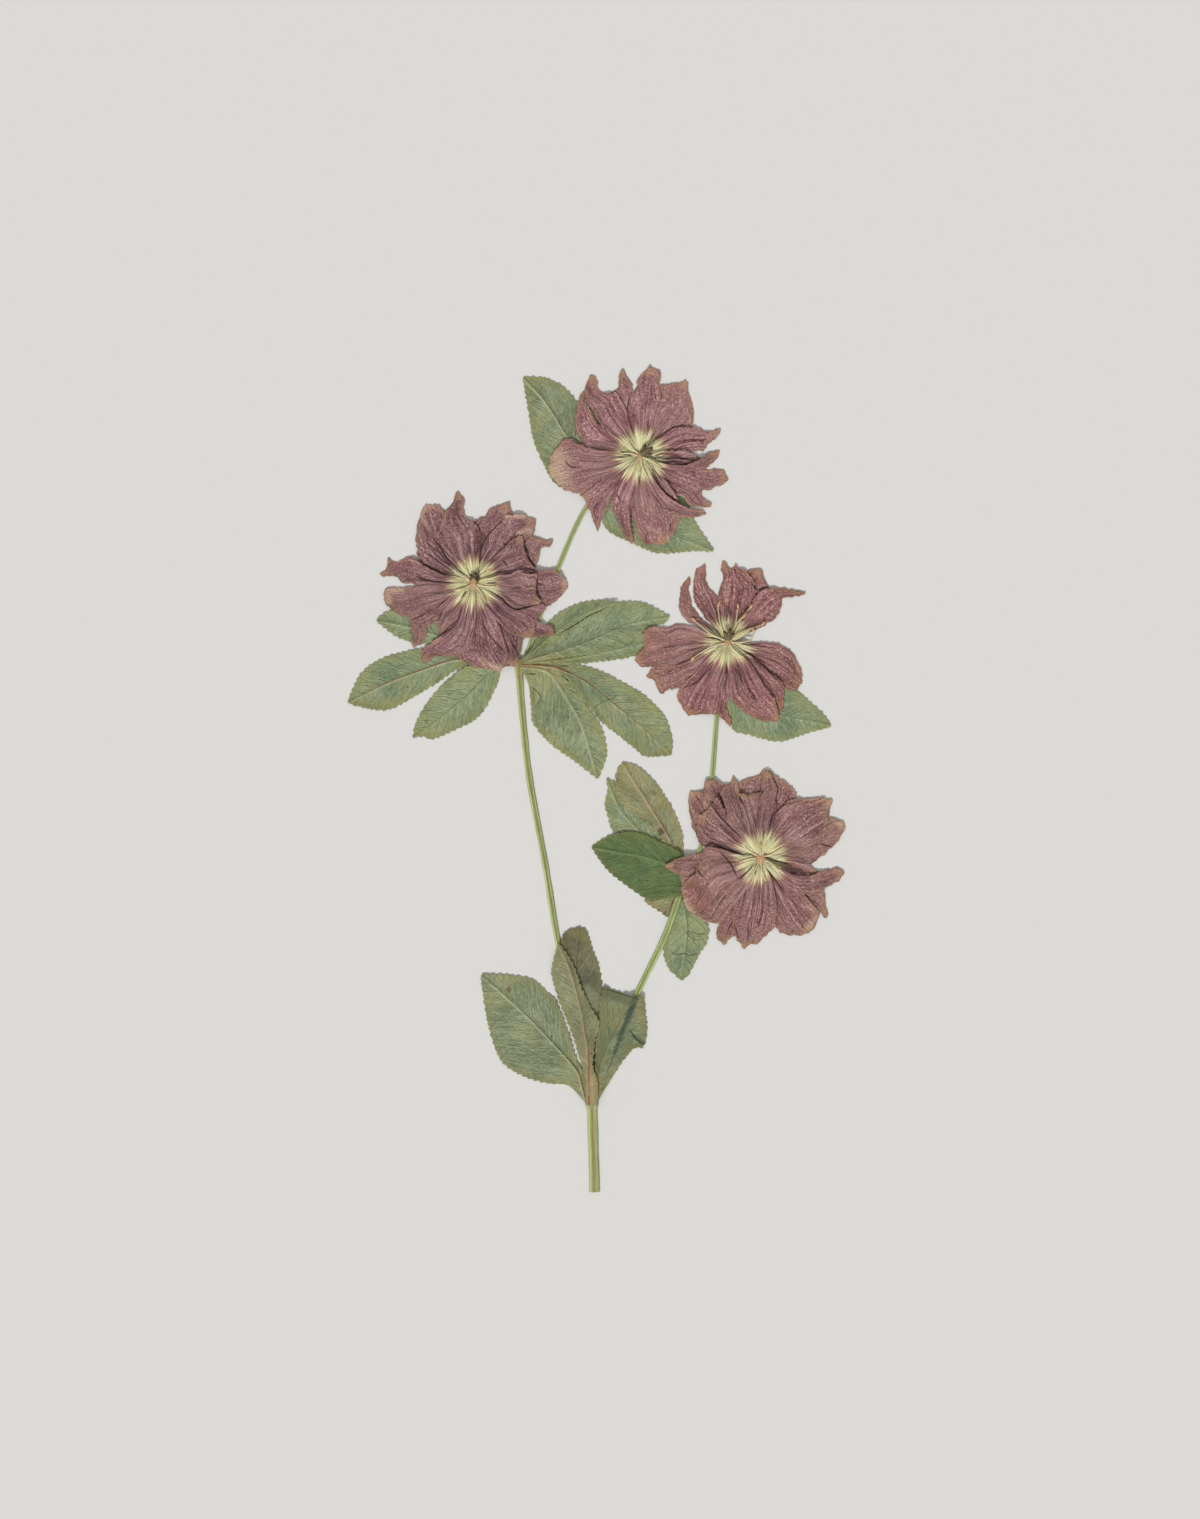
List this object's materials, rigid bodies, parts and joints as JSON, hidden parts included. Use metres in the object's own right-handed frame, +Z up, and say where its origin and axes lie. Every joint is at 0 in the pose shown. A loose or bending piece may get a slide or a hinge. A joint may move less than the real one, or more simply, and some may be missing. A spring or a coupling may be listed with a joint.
{
  "type": "pressed double hellebore spray",
  "caption": "Pressed cut spray of double hellebore lying flat: a branching green stem with toothed leaves and layered mauve blooms with cream hearts.",
  "frame": {"origin": "on the surface that the spray lies on, below the middle of its bounding box", "axes": "+Z up from the surface, +Y along the stem from the cut end towards the top bloom, +X to the right seen from above"},
  "size_m": [0.1894, 0.3145, 0.0079],
  "materials": {
    "petal": "matt, dry, dusty mauve with darker veins and a cream foot",
    "leaf": "matt, dry, sage green with fine veins",
    "stem": "dull, ribbed lengthwise, pale green",
    "heart": "dry, straw yellow and olive"
  },
  "bodies": {
    "root": {"bloom_leaf_right": "leaf", "heart_left": "heart", "heart_low": "heart", "heart_right": "heart", "heart_top": "heart", "left_leaf_long": "leaf", "left_leaf_lower": "leaf", "left_leaf_small": "leaf", "low_leaf_back": "leaf", "low_leaf_front": "leaf", "low_leaf_left": "leaf", "low_leaf_right": "leaf", "mid_leaf_down": "leaf", "mid_leaf_low": "leaf", "mid_leaf_right": "leaf", "mid_leaf_upper": "leaf", "mid_leaf_wide": "leaf", "petals_left": "petal", "petals_low": "petal", "petals_right": "petal", "petals_top": "petal", "right_leaf_dark": "leaf", "right_leaf_small": "leaf", "right_leaf_tip": "leaf", "right_leaf_under": "leaf", "right_leaf_upper": "leaf", "stem": "stem", "top_leaf_left": "leaf", "top_leaf_right": "leaf"}
  },
  "joints": []
}
